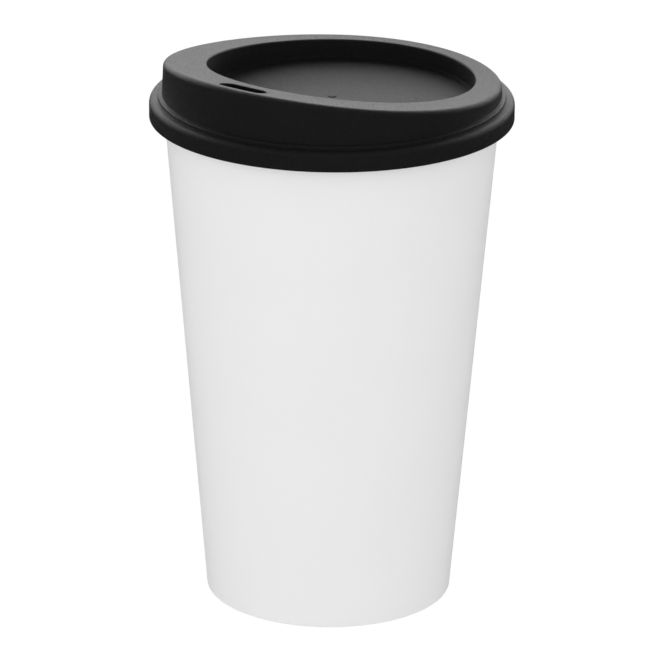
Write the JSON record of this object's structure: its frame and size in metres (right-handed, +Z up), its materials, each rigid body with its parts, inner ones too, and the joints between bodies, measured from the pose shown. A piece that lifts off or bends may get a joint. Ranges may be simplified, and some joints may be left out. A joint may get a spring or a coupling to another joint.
{
  "type": "paper coffee cup with sip lid",
  "caption": "Tall tapered paper cup with a rolled rim and a folded foot, closed by a black moulded sip lid with an arched top, a round recess and an oval slot.",
  "frame": {"origin": "centre of the foot ring, on the surface the cup stands on", "axes": "+Z up along the cup's axis; the sip slot is at the front, on the -Y side, and the side seam at the back"},
  "size_m": [0.094, 0.094, 0.147],
  "materials": {
    "paper_white": "smooth coated paper board",
    "plastic_black": "fine matte moulded grain"
  },
  "bodies": {
    "cup": {"cup_sidewall": "paper_white", "cup_bottom": "paper_white"},
    "lid": {"lid": "plastic_black"}
  },
  "joints": [
    {"name": "lid_pull_off", "type": "slide", "parent": "cup", "child": "lid", "axis": [0, 0, 1], "range_m": [0, 0.055]}
  ]
}
